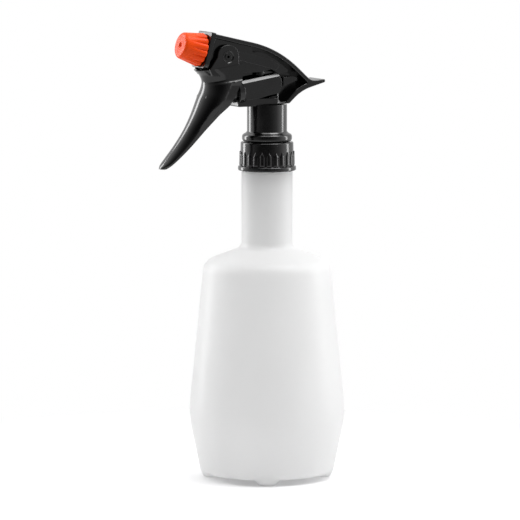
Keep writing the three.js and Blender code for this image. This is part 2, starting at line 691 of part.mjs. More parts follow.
/** Fluted cap: its lobes are deep at the back rim and fade out towards the face. */
function nozzleCap() {
  const c = CAP;
  const perLobe = 5;
  const rings = [[0, 1, 0.35], [0, 1, 0], [3.5, 0.8, 0], [10, 0.3, 0], [12.8, 0, 0], [c.length - 1.6, 0, 0],
    [c.length - 0.5, 0, 0.5], [c.length, 0, 1.6]].map(([z, lobe, chamfer], index) => {
    const height = 0.4 + (index === 0 ? 0 : z + (index === 1 ? 0.4 : 0)) * (c.length - 0.4) / c.length;
    const round = c.backR + (c.frontR - c.backR) * z / c.length - chamfer;
    return Array.from({ length: c.lobes * perLobe }, (_, i) => {
      const angle = 2 * Math.PI * i / (c.lobes * perLobe);
      const r = round + c.lobeDepth * lobe * Math.cos(c.lobes * angle);
      return new THREE.Vector3(r * Math.cos(angle), r * Math.sin(angle), height);
    });
  });
  const bore = bar(c.boreR, -5, c.boreDepth + 0.2, 28);
  const swirl = bar(1.6, c.boreDepth, 13.4, 16);
  const hole = bar(0.5, 12, 20, 12);
  const dimple = turned([[0, 14.1], [0.8, 14.1], [1.9, c.length + 1], [0, c.length + 1]], 16);
  return cut(loft(rings), bore, swirl, hole, dimple);
}

// ---- Assembly -----------------------------------------------------------

function piece(name, made, material) {
  const mesh = new THREE.Mesh(geometryOf(made), material);
  mesh.name = name;
  return mesh;
}

const barrelGroup = new THREE.Group();
barrelGroup.position.set(BARREL.frontX, 0, BARREL.frontZ);
barrelGroup.rotation.y = Math.PI / 2 - BARREL.tilt;
barrelGroup.add(
  piece('piston', piston(), black),
  piece('piston_seal', pistonSeal(), sealGrey),
  piece('return_spring', returnSpring(), steel),
);

const nozzleGroup = new THREE.Group();
nozzleGroup.position.set(NOZZLE.x, 0, NOZZLE.z);
nozzleGroup.rotation.y = NOZZLE.tilt - Math.PI / 2;
nozzleGroup.add(
  piece('nozzle_spigot', nozzleSpigot(), natural),
  piece('spinner', spinner(), natural),
  piece('nozzle_seal', nozzleSeal(), sealGrey),
  piece('nozzle_cap', nozzleCap(), orange),
);

const inletBall = piece('inlet_ball', valveBall(), steel);
inletBall.position.z = INLET.seatZ + restHeight(INLET.seatHoleR);
const outletBall = piece('outlet_ball', valveBall(), steel);
outletBall.position.set(OUTLET.x, 0, OUTLET.seatZ + restHeight(OUTLET.seatHoleR));
const plug = piece('outlet_plug', outletPlug(), natural);
plug.position.x = OUTLET.x;

const mister = new THREE.Group();
mister.position.x = AXIS_X;
mister.add(
  piece('bottle', bottle(), milky),
  piece('closure_ring', closureRing(), black),
  piece('neck_gasket', neckGasket(), sealGrey),
  piece('pump_body', pumpBody(), black),
  piece('intake_housing', intakeHousing(), natural),
  inletBall,
  outletBall,
  plug,
  piece('trigger', trigger(), black),
  piece('shroud', shroud(), black),
  piece('dip_tube', dipTube(), natural),
  piece('tube_filter', tubeFilter(), natural),
  barrelGroup,
  nozzleGroup,
);

const group = new THREE.Group();
group.add(mister);

export default group;
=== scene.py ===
"""Hand mister: a black trigger sprayer head with an orange nozzle cap on a milky one-litre bottle.

Pieces are modelled in millimetres round the bottle's axis, with the nozzle towards -X and the bottle standing
on z = 0, and are scaled to metres and moved onto the frame's bottle axis when they are settled.
"""

import json
import math

import bmesh
import bpy
from mathutils import Matrix, Vector


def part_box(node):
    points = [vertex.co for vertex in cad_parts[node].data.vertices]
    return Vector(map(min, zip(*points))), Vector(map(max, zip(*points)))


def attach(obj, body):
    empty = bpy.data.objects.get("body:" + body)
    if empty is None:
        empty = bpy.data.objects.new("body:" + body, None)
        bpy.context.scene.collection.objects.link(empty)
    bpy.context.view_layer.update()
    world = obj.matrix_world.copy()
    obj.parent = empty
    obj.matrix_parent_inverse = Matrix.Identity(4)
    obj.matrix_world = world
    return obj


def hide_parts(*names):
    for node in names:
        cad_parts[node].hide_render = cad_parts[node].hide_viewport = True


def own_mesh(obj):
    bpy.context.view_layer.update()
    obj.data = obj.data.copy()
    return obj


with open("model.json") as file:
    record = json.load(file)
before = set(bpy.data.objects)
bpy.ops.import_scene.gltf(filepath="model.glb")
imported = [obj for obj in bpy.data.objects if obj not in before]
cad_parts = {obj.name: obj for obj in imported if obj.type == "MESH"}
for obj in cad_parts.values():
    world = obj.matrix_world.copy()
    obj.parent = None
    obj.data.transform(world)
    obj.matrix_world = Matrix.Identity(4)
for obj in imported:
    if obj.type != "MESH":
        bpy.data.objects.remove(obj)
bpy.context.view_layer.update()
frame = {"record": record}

MM = 0.001
ARC_STEP = math.radians(7)      # turn between two points of an arc
SHARP_ANGLE = math.radians(32)  # edges sharper than this stay sharp when shaded
CORNER_ANGLE = math.radians(35)  # edges sharper than this are corners, which can be rounded

joints = {joint["name"]: joint for joint in frame["record"]["behaviour"]["joints"]}
tube_low, tube_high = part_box("dip_tube")
AXIS_X = (tube_low[0] + tube_high[0]) / 2


# ---- Places taken from the frame ------------------------------------------------------------------------

def local(point):
    """A place in the row frame, in metres, as millimetres round the bottle's axis."""
    return Vector(((point[0] - AXIS_X) / MM, point[1] / MM, point[2] / MM))


PIVOT = local(joints["trigger_pull"]["pos_m"])
NOZZLE = local(joints["nozzle_turn"]["pos_m"])
NOZZLE_AXIS = Vector(joints["nozzle_turn"]["axis"]).normalized()
BARREL_AXIS = Vector(joints["piston_stroke"]["axis"]).normalized()
BARREL_FRONT = Vector((-21.5, 0, 245.4))
NOZZLE_TILT = math.asin(NOZZLE_AXIS.z)
BARREL_TILT = math.asin(BARREL_AXIS.z)


# ---- Outlines -------------------------------------------------------------------------------------------

def rounded(corners, step=ARC_STEP):
    """A path through corners (x, y, fillet), each corner with a fillet turned into an arc."""
    path = []
    for i, (x, y, fillet) in enumerate(corners):
        corner = Vector((x, y))
        if not fillet:
            path.append(corner)
            continue
        back = (Vector(corners[i - 1][:2]) - corner).normalized()
        ahead = (Vector(corners[(i + 1) % len(corners)][:2]) - corner).normalized()
        half = math.acos(max(-1.0, min(1.0, back.dot(ahead)))) / 2
        centre = corner + (back + ahead).normalized() * fillet / math.sin(half)
        start = corner + back * fillet / math.tan(half) - centre
        end = corner + ahead * fillet / math.tan(half) - centre
        first = math.atan2(start.y, start.x)
        sweep = math.atan2(end.y, end.x) - first
        sweep = (sweep + math.pi) % (2 * math.pi) - math.pi
        count = max(2, math.ceil(abs(sweep) / step))
        for k in range(count + 1):
            angle = first + sweep * k / count
            path.append(centre + fillet * Vector((math.cos(angle), math.sin(angle))))
    return path


def moved(corners, distance):
    """The same corners moved sideways by distance, to the left of the direction of travel."""
    normals = []
    for (x0, y0, _), (x1, y1, _) in zip(corners, corners[1:]):
        along = Vector((x1 - x0, y1 - y0)).normalized()
        normals.append(Vector((-along.y, along.x)))
    result = []
    for i, (x, y, fillet) in enumerate(corners):
        before = normals[max(i - 1, 0)]
        after = normals[min(i, len(normals) - 1)]
        reach = distance / (1 + before.dot(after))
        left_turn = before.x * after.y - before.y * after.x > 0
        radius = max(fillet + (-distance if left_turn else distance), 0.3) if fillet else 0
        result.append((x + (before.x + after.x) * reach, y + (before.y + after.y) * reach, radius))
    return result


def resampled(path, gap):
    """The same path with its long stretches split, so that no step is longer than gap."""
    result = [path[0]]
    for a, b in zip(path, path[1:]):
        count = max(1, math.ceil((b - a).length / gap))
        result.extend(a.lerp(b, k / count) for k in range(1, count + 1))
    return result


def smooth_value(pairs, z):
    """Catmull-Rom value at height z through (z, value) pairs that run downwards."""
    for i in range(len(pairs) - 1):
        if pairs[i][0] >= z >= pairs[i + 1][0] or i == len(pairs) - 2:
            break
    z1, v1 = pairs[i]
    z2, v2 = pairs[i + 1]
    z0, v0 = pairs[i - 1] if i else (2 * z1 - z2, 2 * v1 - v2)
    z3, v3 = pairs[i + 2] if i + 2 < len(pairs) else (2 * z2 - z1, 2 * v2 - v1)
    t = max(0.0, min(1.0, (z - z1) / (z2 - z1)))
    m1 = (v2 - v0) / (z2 - z0) * (z2 - z1)
    m2 = (v3 - v1) / (z3 - z1) * (z2 - z1)
    t2, t3 = t * t, t * t * t
    return (2 * t3 - 3 * t2 + 1) * v1 + (t3 - 2 * t2 + t) * m1 + (3 * t2 - 2 * t3) * v2 + (t3 - t2) * m2


def ease(value, low, high):
    """0 below low, 1 above high, smooth between."""
    t = max(0.0, min(1.0, (value - low) / (high - low)))
    return t * t * (3 - 2 * t)


# ---- Solids ---------------------------------------------------------------------------------------------

def as_object(bm):
    bmesh.ops.recalc_face_normals(bm, faces=bm.faces)
    mesh = bpy.data.meshes.new("work")
    bm.to_mesh(mesh)
    bm.free()
    obj = bpy.data.objects.new("work", mesh)
    bpy.context.scene.collection.objects.link(obj)
    return obj


def skin(rows, loop=False):
    """A closed skin over rings of points; loop joins the last ring to the first instead of capping both."""
    bm = bmesh.new()
    rings = [[bm.verts.new(p) for p in row] for row in rows]
    pairs = list(zip(rings, rings[1:]))
    if loop:
        pairs.append((rings[-1], rings[0]))
    for lower, upper in pairs:
        for i in range(len(lower)):
            j = (i + 1) % len(lower)
            bm.faces.new((lower[i], lower[j], upper[j], upper[i]))
    if not loop:
        bm.faces.new(rings[0][::-1])
        bm.faces.new(rings[-1])
    return as_object(bm)


def revolve(profile, segments=96):
    """Solid of revolution about Z, from an (r, z) path with both ends on the axis or a closed one off it."""
    on_axis = profile[0][0] < 1e-6
    bm = bmesh.new()
    rings = []
    for r, z in profile:
        if r < 1e-6:
            rings.append([bm.verts.new((0, 0, z))])
            continue
        turns = (2 * math.pi * i / segments for i in range(segments))
        rings.append([bm.verts.new((r * math.cos(a), r * math.sin(a), z)) for a in turns])
    pairs = list(zip(rings, rings[1:]))
    if not on_axis:
        pairs.append((rings[-1], rings[0]))
    for lower, upper in pairs:
        for i in range(segments):
            j = (i + 1) % segments
            near = [lower[i % len(lower)], lower[j % len(lower)]]
            far = [upper[j % len(upper)], upper[i % len(upper)]]
            bm.faces.new(list(dict.fromkeys(near + far)))
    return as_object(bm)


def rod(r, bottom, top, segments=64, edge=0.0):
    """A round bar along Z, its rims rounded by edge."""
    return revolve(rounded([(0, bottom, 0), (r, bottom, edge), (r, top, edge), (0, top, 0)]), segments)


def pipe(inner, outer, bottom, top, segments=64, edge=0.0):
    corners = [(inner, bottom, edge), (outer, bottom, edge), (outer, top, edge), (inner, top, edge)]
    return revolve(rounded(corners), segments)


def slab(outline, low, high, edge=0.0, steps=3):
    """A side view outline in (x, z) given a width from y = low to y = high, its rims rounded by edge."""
    bm = bmesh.new()
    face = bm.faces.new([bm.verts.new((p[0], low, p[1])) for p in outline])
    extruded = bmesh.ops.extrude_face_region(bm, geom=[face])["geom"]
    far = [part for part in extruded if isinstance(part, bmesh.types.BMVert)]
    bmesh.ops.translate(bm, verts=far, vec=(0, high - low, 0))
    return bevelled(as_object(bm), edge, steps)


def bevelled(obj, width, steps=3):
    """Rounds the corners of a solid, but not the small turns along its arcs."""
    if width <= 0:
        return obj
    bm = bmesh.new()
    bm.from_mesh(obj.data)
    edges = [e for e in bm.edges if e.is_manifold and e.calc_face_angle(0) > CORNER_ANGLE]
    bmesh.ops.bevel(bm, geom=edges, offset=width, segments=steps, profile=0.5, affect="EDGES",
                    clamp_overlap=True)
    bm.to_mesh(obj.data)
    bm.free()
    return obj


def applied(obj):
    """Turns an object's modifiers into its mesh."""
    depsgraph = bpy.context.evaluated_depsgraph_get()
    mesh = bpy.data.meshes.new_from_object(obj.evaluated_get(depsgraph))
    obj.modifiers.clear()
    obj.data = mesh
    return obj


def combine(obj, operation, *others):
    for other in others:
        modifier = obj.modifiers.new("combine", "BOOLEAN")
        modifier.operation = operation
        modifier.solver = "MANIFOLD"
        modifier.object = other
        applied(obj)
        bpy.data.objects.remove(other)
    return obj


def join(obj, *others):
    return combine(obj, "UNION", *others)


def cut(obj, *others):
    return combine(obj, "DIFFERENCE", *others)


def placed(obj, matrix):
    obj.data.transform(matrix)
    if matrix.determinant() < 0:
        obj.data.flip_normals()
    return obj


def shifted(obj, x=0.0, z=0.0):
    return placed(obj, Matrix.Translation((x, 0, z)))


def cross_rod(x, z, r, low, high, segments=64, edge=0.0):
    """A round bar across Y."""
    across = Matrix.Rotation(-math.pi / 2, 4, "X")
    return placed(rod(r, low, high, segments, edge), Matrix.Translation((x, 0, z)) @ across)


def along_barrel(obj):
    """Lays a solid made along +Z on the barrel's axis, its zero at the centre of the barrel's front face."""
    return placed(obj, Matrix.Translation(BARREL_FRONT) @ Matrix.Rotation(math.pi / 2 - BARREL_TILT, 4, "Y"))


def along_nozzle(obj):
    """Lays a solid made along +Z on the nozzle's axis, its zero on the front plate's front face."""
    return placed(obj, Matrix.Translation(NOZZLE) @ Matrix.Rotation(NOZZLE_TILT - math.pi / 2, 4, "Y"))


# ---- Materials ------------------------------------------------------------------------------------------

def node_material(name):
    material = bpy.data.materials.new(name)
    material.use_nodes = True
    tree = material.node_tree
    return material, tree, tree.nodes["Principled BSDF"]


def add(tree, kind, **values):
    node = tree.nodes.new(kind)
    for key, value in values.items():
        if key in node.inputs:
            node.inputs[key].default_value = value
        else:
            setattr(node, key, value)
    return node


def noise_of(tree, scale, detail=3.0, stretch=(1, 1, 1)):
    """Noise in object space; scale is in cells per metre."""
    place = add(tree, "ShaderNodeTexCoord")
    mapping = add(tree, "ShaderNodeMapping", Scale=stretch)
    noise = add(tree, "ShaderNodeTexNoise", Scale=scale, Detail=detail)
    tree.links.new(place.outputs["Object"], mapping.inputs["Vector"])
    tree.links.new(mapping.outputs["Vector"], noise.inputs["Vector"])
    return noise.outputs["Fac"]


def ranged(tree, value, low, high):
    node = add(tree, "ShaderNodeMapRange")
    node.inputs["From Min"].default_value = 0.3
    node.inputs["From Max"].default_value = 0.7
    node.inputs["To Min"].default_value = low
    node.inputs["To Max"].default_value = high
    tree.links.new(value, node.inputs["Value"])
    return node.outputs["Result"]


def bumped(tree, shader, height, strength, distance):
    bump = add(tree, "ShaderNodeBump", Strength=strength, Distance=distance)
    tree.links.new(height, bump.inputs["Height"])
    tree.links.new(bump.outputs["Normal"], shader.inputs["Normal"])


def tinted(tree, shader, value, dark, light):
    ramp = add(tree, "ShaderNodeValToRGB")
    ramp.color_ramp.elements[0].position = 0.3
    ramp.color_ramp.elements[0].color = (*dark, 1)
    ramp.color_ramp.elements[1].position = 0.7
    ramp.color_ramp.elements[1].color = (*light, 1)
    tree.links.new(value, ramp.inputs["Fac"])
    tree.links.new(ramp.outputs["Color"], shader.inputs["Base Color"])
    return ramp.outputs["Color"]


def moulded_plastic(name, dark, light, rough_low, rough_high, grain=0.12, specular=0.5):
    """Injection-moulded plastic: faint colour drift, uneven gloss and a very fine eroded grain."""
    material, tree, shader = node_material(name)
    tinted(tree, shader, noise_of(tree, 60), dark, light)
    tree.links.new(ranged(tree, noise_of(tree, 140, 4), rough_low, rough_high), shader.inputs["Roughness"])
    shader.inputs["Specular IOR Level"].default_value = specular
    bumped(tree, shader, noise_of(tree, 5200, 2), grain, 0.00003)
    return material


MILKY_THROUGH = 0.72            # share of the light that goes on through the bottle's wall


def milky_plastic():
    """Unpigmented polyethylene: light passes through the wall, and the surface has a soft satin gloss."""
    material, tree, shader = node_material("milky_polyethylene")
    drift = noise_of(tree, 22, 2, (1, 1, 0.35))
    colour = tinted(tree, shader, drift, (0.895, 0.895, 0.895), (0.915, 0.915, 0.915))
    tree.links.new(ranged(tree, noise_of(tree, 90), 0.3, 0.4), shader.inputs["Roughness"])
    shader.inputs["Specular IOR Level"].default_value = 1.0
    bumped(tree, shader, noise_of(tree, 700, 2), 0.06, 0.0002)
    through = add(tree, "ShaderNodeBsdfTranslucent")
    tree.links.new(colour, through.inputs["Color"])
    mix = add(tree, "ShaderNodeMixShader", Fac=MILKY_THROUGH)
    tree.links.new(shader.outputs["BSDF"], mix.inputs[1])
    tree.links.new(through.outputs["BSDF"], mix.inputs[2])
    tree.links.new(mix.outputs["Shader"], tree.nodes["Material Output"].inputs["Surface"])
    return material


def wire_steel(name, roughness):
    """Drawn or polished stainless steel with fine scratches."""
    material, tree, shader = node_material(name)
    tinted(tree, shader, noise_of(tree, 400), (0.5, 0.51, 0.53), (0.66, 0.67, 0.69))
    shader.inputs["Metallic"].default_value = 1.0
    spread = ranged(tree, noise_of(tree, 900, 3, (1, 1, 6)), roughness * 0.7, roughness * 1.4)
    tree.links.new(spread, shader.inputs["Roughness"])
    return material


def rubber():
    material, tree, shader = node_material("seal_rubber")
    tinted(tree, shader, noise_of(tree, 300), (0.035, 0.035, 0.037), (0.06, 0.06, 0.063))
    tree.links.new(ranged(tree, noise_of(tree, 500), 0.65, 0.85), shader.inputs["Roughness"])
    bumped(tree, shader, noise_of(tree, 2500), 0.3, 0.00005)
    return material


# Darkest and lightest colour of each moulded plastic.
BLACK = ((0.0010, 0.0010, 0.0011), (0.0018, 0.0018, 0.0019))
ORANGE = ((0.78, 0.060, 0.004), (0.86, 0.080, 0.006))
NATURAL = ((0.74, 0.75, 0.75), (0.8, 0.81, 0.81))
MATERIALS = {
    "milky_plastic": milky_plastic(),
    "black_plastic": moulded_plastic("black_polypropylene", *BLACK, 0.13, 0.19, 0.02),
    "orange_plastic": moulded_plastic("orange_polypropylene", *ORANGE, 0.3, 0.42, 0.02, 0.12),
    "natural_plastic": moulded_plastic("natural_polyethylene", *NATURAL, 0.35, 0.5),
    "seal_rubber": rubber(),
    "spring_steel": wire_steel("spring_steel", 0.3),
    "ball_steel": wire_steel("ball_steel", 0.12),
}
slot_of = {entry["node"]: entry["material_slot"] for entry in frame["record"]["subparts"]}
body_of = {node: body for body, nodes in frame["record"]["behaviour"]["bodies"].items() for node in nodes}


def settle(obj, node):
    """Finishes a piece that stands for a CAD node: metres, shading, the material named by the node's slot,
    and body.
    """
    placed(obj, Matrix.Translation((AXIS_X, 0, 0)) @ Matrix.Scale(MM, 4))
    obj.name = f"{node}_fine"
    obj.data.name = obj.name
    obj.data.shade_smooth()
    obj.data.set_sharp_from_angle(angle=SHARP_ANGLE)
    weighted = obj.modifiers.new("even_shading", "WEIGHTED_NORMAL")
    weighted.keep_sharp = True
    obj.data.materials.clear()
    obj.data.materials.append(MATERIALS[slot_of[node]])
    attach(obj, body_of[node])
    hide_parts(node)
    return obj


# ---- Bottle ---------------------------------------------------------------------------------------------

FINISH_R = 12.4                 # root of the bottle's screw thread
BOTTLE_OUTSIDE = [
    (0, 6, 0),
    (30, 3.4, 12),
    (42, 3, 5),
    (49.5, 40.5, 60),
    (39.9, 137.1, 9),
    (16.1, 146.3, 5),
    (16.1, 194.2, 1.2),
    (FINISH_R, 194.6, 0.8),
    (FINISH_R, 206.3, 0.3),
]
BOTTLE_WALL = 1.2
MOUTH_R = 10.8
FOOT_ANGLE = math.radians(243)
FOOT_RING_R = 36.8
FOOT_HALF = (6.6, 8.4)          # along the radius and across it
FOOT_DEPTH = 3.15
THREAD_PITCH, THREAD_TURNS = 4.2, 1.15


def foot_depth(x, y):
    """How far the floor is pushed down at a place by the nearest of the four feet."""
    radius = math.hypot(x, y)
    if radius < 1:
        return 0.0
    quarter = math.pi / 2
    away = (math.atan2(y, x) - FOOT_ANGLE + quarter / 2) % quarter - quarter / 2
    outwards = (radius * math.cos(away) - FOOT_RING_R) / FOOT_HALF[0]
    sideways = radius * math.sin(away) / FOOT_HALF[1]
    reach = math.hypot(outwards, sideways)
    return FOOT_DEPTH * min(1.0, 1.35 * ease(1 - reach, 0.0, 0.62))


def screw_thread(root, crest, start_z):
    """A right-handed ridge from the wall at root to its crest, its ends run out."""
    per_turn = 72
    steps = round(THREAD_TURNS * per_turn)
    embed = 0.4 if root > crest else -0.4
    rows = []
    for i in range(steps + 1):
        angle = 2 * math.pi * i / per_turn
        z = start_z + THREAD_PITCH * i / per_turn
        rise = min(1.0, (i + 1) / 9, (steps - i + 1) / 9)
        tip = root + (crest - root) * rise
        section = [(root + embed, -1.1), (tip, -0.5), (tip, 0.5), (root + embed, 1.1)]
        rows.append([Vector((r * math.cos(angle), r * math.sin(angle), z + h)) for r, h in section])
    return skin(rows)


def make_bottle():
    outside = resampled(rounded(BOTTLE_OUTSIDE), 1.4)
    inside = moved(BOTTLE_OUTSIDE, BOTTLE_WALL)[:-3]
    inside += [(14.9, 191.2, 1), (MOUTH_R, 193.2, 1), (MOUTH_R, 206.3, 0.3)]
    inside[0] = (0, inside[0][1], 0)
    profile = outside + resampled(rounded(inside), 2.5)[::-1]
    obj = revolve([(p[0], p[1]) for p in profile], 192)
    for vertex in obj.data.vertices:
        x, y, z = vertex.co
        if z < 16:
            fade = 1 - ease(z, 3.4, 14)
            push = foot_depth(x, y) * fade
            vertex.co.z = max(z - push, 0)
    return join(obj, screw_thread(FINISH_R, 13.7, 198))


settle(make_bottle(), "bottle")


# ---- Closure --------------------------------------------------------------------------------------------

RING_RIBS = 24
RING_RIB_LOW, RING_RIB_HIGH = 197.9, 207.2


def ring_rib(angle, z):
    """Height of the grip ribs on the ring at a place: rounded ridges with pointed upper ends."""
    step = 2 * math.pi / RING_RIBS
    away = abs((angle / step) % 1 - 0.5) * 2
    width = 0.62 * (1 - ease(z, RING_RIB_HIGH - 3.2, RING_RIB_HIGH))
    if width <= 0.01 or z < RING_RIB_LOW:
        return 0.0
    return 0.65 * math.sqrt(max(0.0, 1 - (away / width) ** 2)) * ease(z, RING_RIB_LOW, RING_RIB_LOW + 0.4)


def make_closure_ring():
    outer = rounded([(14.1, 194.8, 0.2), (18.3, 194.8, 0.7), (18.3, 197.4, 0.9), (16.9, 197.9, 0.4),
                     (16.6, 212.8, 0.9), (12.6, 212.8, 0.3), (12.6, 210.8, 0.2), (14.1, 210.8, 0)])
    path = resampled(outer + [outer[0]], 0.45)[:-1]
    segments = RING_RIBS * 14
    rows = []
    for r, z in path:
        row = []
        for i in range(segments):
            angle = 2 * math.pi * i / segments
            proud = ring_rib(angle, z) if r > 16 and RING_RIB_LOW < z < RING_RIB_HIGH else 0
            row.append(Vector(((r + proud) * math.cos(angle), (r + proud) * math.sin(angle), z)))
        rows.append(row)
    return join(skin(rows, loop=True), screw_thread(14.1, 12.8, 200.1))


settle(make_closure_ring(), "closure_ring")
settle(pipe(9.4, 13.2, 206.6, 208.1, 96, 0.25), "neck_gasket")


# ---- Pump body and valves -------------------------------------------------------------------------------

NECK_OUTSIDE = [
    (11, 208.4, 0.2), (13.5, 208.4, 0.3), (13.5, 210.2, 0.3), (12.2, 210.2, 0.2), (12.2, 213.1, 0.2),
    (15.75, 213.1, 1.7), (15.75, 217.2, 2.0), (13.4, 218.5, 1.2), (12.6, 219.4, 1.0), (12.6, 236.4, 0),
    (11, 236.4, 0),
]
BASE = [(-23.4, 235.7, 0.8), (4.5, 235.7, 0), (4.5, 240.5, 1), (-23.4, 241, 0.8)]
BARREL_R, BARREL_LENGTH = 8.3, 26
BORE_R, BORE_DEPTH = 7.0, 24
COLLAR_R, COLLAR_HALF = 9.5, 2
TOWER_X = -6                    # axis of the outlet valve
TOWER_TOP = 265.2
BALL_R = 2.3
BLOCK_HALF = 9.0
BLOCK_TOP = 6.6                 # height of the block's top over the barrel's axis
BLOCK_CHAMFER = 1.6
RIB_HALF = 0.8
LOWER_RIB = [(-20, 238), (5.8, 235.9), (7.2, 240), (7.2, 246), (-20, 246)]
UPPER_RIB = [(-19.5, 250), (-6, 250), (-6, 259.5), (-19.5, 262.5)]
BUTTRESS = [(-6, 250), (7, 250), (7, 255.9), (3.5, 257.4), (-6, 257.9)]


def barrel_height(x, above):
    """Height of a line that runs along the barrel, above its axis."""
    return BARREL_FRONT.z + (x - BARREL_FRONT.x) * math.tan(BARREL_TILT) + above


def block_chamfer(side):
    """Wedge that takes off the barrel block's upper corner on one side."""
    inner, outer = BLOCK_HALF - BLOCK_CHAMFER - 1, BLOCK_HALF + 1
    corner = [(inner, BLOCK_TOP + 1), (outer, BLOCK_TOP - BLOCK_CHAMFER - 1), (outer + 1, BLOCK_TOP + 2)]
    return skin([[Vector((x, side * y, barrel_height(x, z))) for y, z in corner] for x in (-30, 12)])


def barrel_block():
    """Block round the barrel, with a broad chamfer along both of its upper edges."""
    outline = rounded([
        (-22, barrel_height(-22, BLOCK_TOP), 0),
        (3.6, barrel_height(3.6, BLOCK_TOP), 1.2),
        (7.0, barrel_height(7.0, 0.2), 8),
        (4.0, barrel_height(4.0, -5.7), 1.6),
        (-3.8, barrel_height(-3.8, -5.9), 9),
        (-10, barrel_height(-10, -6.6), 12),
        (-18.8, barrel_height(-18.8, -5.9), 0),
    ])
    block = slab(outline, -BLOCK_HALF, BLOCK_HALF, 0.3)
    return cut(block, block_chamfer(-1), block_chamfer(1))


def make_pump_body():
    neck = revolve(rounded(NECK_OUTSIDE), 128)
    base = slab(rounded(BASE), -6.5, 6.5, 0.5)
    ribs = [slab(rib, -RIB_HALF, RIB_HALF) for rib in (LOWER_RIB, UPPER_RIB)]
    ribs.append(slab(BUTTRESS, -4, 4, 0.4))
    barrel = along_barrel(rod(BARREL_R, -COLLAR_HALF, BARREL_LENGTH, 96, 0.6))
    collar = along_barrel(rod(COLLAR_R, -COLLAR_HALF, COLLAR_HALF, 96, 0.5))
    boss = rod(5.4, 213, 239, 48)
    tower = shifted(rod(4.6, 248, TOWER_TOP, 64, 0.3), x=TOWER_X)
    discharge = along_nozzle(rod(3.5, -46, -10, 48))
    socket = along_nozzle(rod(5.0, -14, -3.5, 64, 0.3))
    pivot = cross_rod(PIVOT.x, PIVOT.z, 6.0, -8.2, 8.2, 64, 0.3)
    body = join(neck, base, *ribs, barrel, collar, barrel_block(), boss, tower, discharge, socket, pivot)
    return cut(
        body,
        along_barrel(rod(BORE_R, -7, BORE_DEPTH, 96)),
        rod(4.0, 203, 238, 48),
        rod(1.8, 237, 246, 32),
        shifted(rod(1.5, 250, 258, 32), x=TOWER_X),
        shifted(rod(3.0, 257.3, 270, 48), x=TOWER_X),
        shifted(rod(4.7, TOWER_TOP, 270, 48), x=TOWER_X),
        along_nozzle(rod(1.6, -41, 0, 32)),
        along_nozzle(rod(3.2, -12, 0, 48)),
        cross_rod(PIVOT.x, PIVOT.z, 3.9, -13, -5.2),
        cross_rod(PIVOT.x, PIVOT.z, 3.9, 5.2, 13),
    )


settle(make_pump_body(), "pump_body")


def make_intake_housing():
    profile = rounded([(0, 205, 0), (4.8, 205, 0.3), (4.8, 208.7, 0.3), (10.4, 208.7, 0.3),
                       (10.4, 210.2, 0.3), (3.7, 211.4, 0.6), (3.7, 237.6, 0.3), (0, 237.6, 0)])
    tube_socket = rod(3.2, 200, 222, 48)
    channel = rod(1.6, 221, 234.5, 32)
    cage = rod(2.9, 233.5, 245, 48)
    vent = shifted(rod(0.8, 205, 215, 24), x=7.5)
    return cut(revolve(profile, 64), tube_socket, channel, cage, vent)


def ball(z, x=0.0):
    steps = 32
    turns = [math.pi * i / steps for i in range(steps + 1)]
    obj = revolve([(BALL_R * math.sin(turn), -BALL_R * math.cos(turn)) for turn in turns], 48)
    return shifted(obj, x=x, z=z)


def box_centre(node):
    low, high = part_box(node)
    return local([(a + b) / 2 for a, b in zip(low, high)])


def make_outlet_plug():
    stem = shifted(rod(2.7, 262.9, 265.7, 48, 0.2), x=TOWER_X)
    cap = shifted(rod(4.0, 265.5, 266.5, 64, 0.25), x=TOWER_X)
    return join(stem, cap)


def make_tube_filter():
    profile = rounded([(0, 8, 0), (4.2, 8, 0.4), (4.6, 9.2, 0.3), (4.6, 20, 0.3), (3.9, 21, 0.2), (0, 21, 0)])
    cup = revolve(profile, 64)
    slots = []
    for i in range(3):
        slot = slab([(-6, 10), (6, 10), (6, 13.2), (-6, 13.2)], -0.6, 0.6)
        slots.append(placed(slot, Matrix.Rotation(i * math.pi / 3, 4, "Z")))
    return cut(cup, rod(3.2, 13.3, 25, 48), rod(2.2, 9, 13.5, 32), *slots)


settle(make_intake_housing(), "intake_housing")
settle(ball(box_centre("inlet_ball").z), "inlet_ball")
settle(ball(box_centre("outlet_ball").z, TOWER_X), "outlet_ball")
settle(make_outlet_plug(), "outlet_plug")
settle(pipe(2.0, 2.9, 13.6, 221.7, 48, 0.15), "dip_tube")
settle(make_tube_filter(), "tube_filter")


# ---- Piston and spring ----------------------------------------------------------------------------------

def make_piston():
    corners = [(0, -19.5, 0), (3.2, -19.5, 0.6), (3.2, -11, 0.5), (6.6, -11, 0.9), (6.6, 1.6, 0.1),
               (5.6, 1.6, 0.1), (5.6, 4, 0.1), (6.6, 4, 0.1), (6.6, 5, 0.2), (4.5, 5, 0.2), (4.5, -8, 0.3),
               (0, -8, 0)]
    return along_barrel(revolve(rounded(corners), 96))


SPRING_FRONT, SPRING_REAR = -7.7, 23.7  # ends of the spring along the barrel


def make_spring():
    """Coil spring from the piston's bore to the barrel's rear wall."""
    mean, wire = 3.6, 0.45
    turns, per_turn, sides = 8, 36, 12
    front, rear = SPRING_FRONT + wire, SPRING_REAR - wire
    rows = []
    steps = turns * per_turn
    for i in range(steps + 1):
        angle = 2 * math.pi * i / per_turn
        out = Vector((math.cos(angle), math.sin(angle), 0))
        centre = out * mean + Vector((0, 0, front + (rear - front) * i / steps))
        row = []
        for k in range(sides):
            turn = 2 * math.pi * k / sides
            row.append(centre + out * wire * math.cos(turn) + Vector((0, 0, wire * math.sin(turn))))
        rows.append(row)
    return along_barrel(skin(rows))


settle(make_piston(), "piston")
settle(along_barrel(pipe(5.9, 6.75, 1.9, 3.7, 96, 0.3)), "piston_seal")
squeezed_spring = settle(make_spring(), "return_spring")
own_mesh(squeezed_spring)


# ---- Trigger --------------------------------------------------------------------------------------------

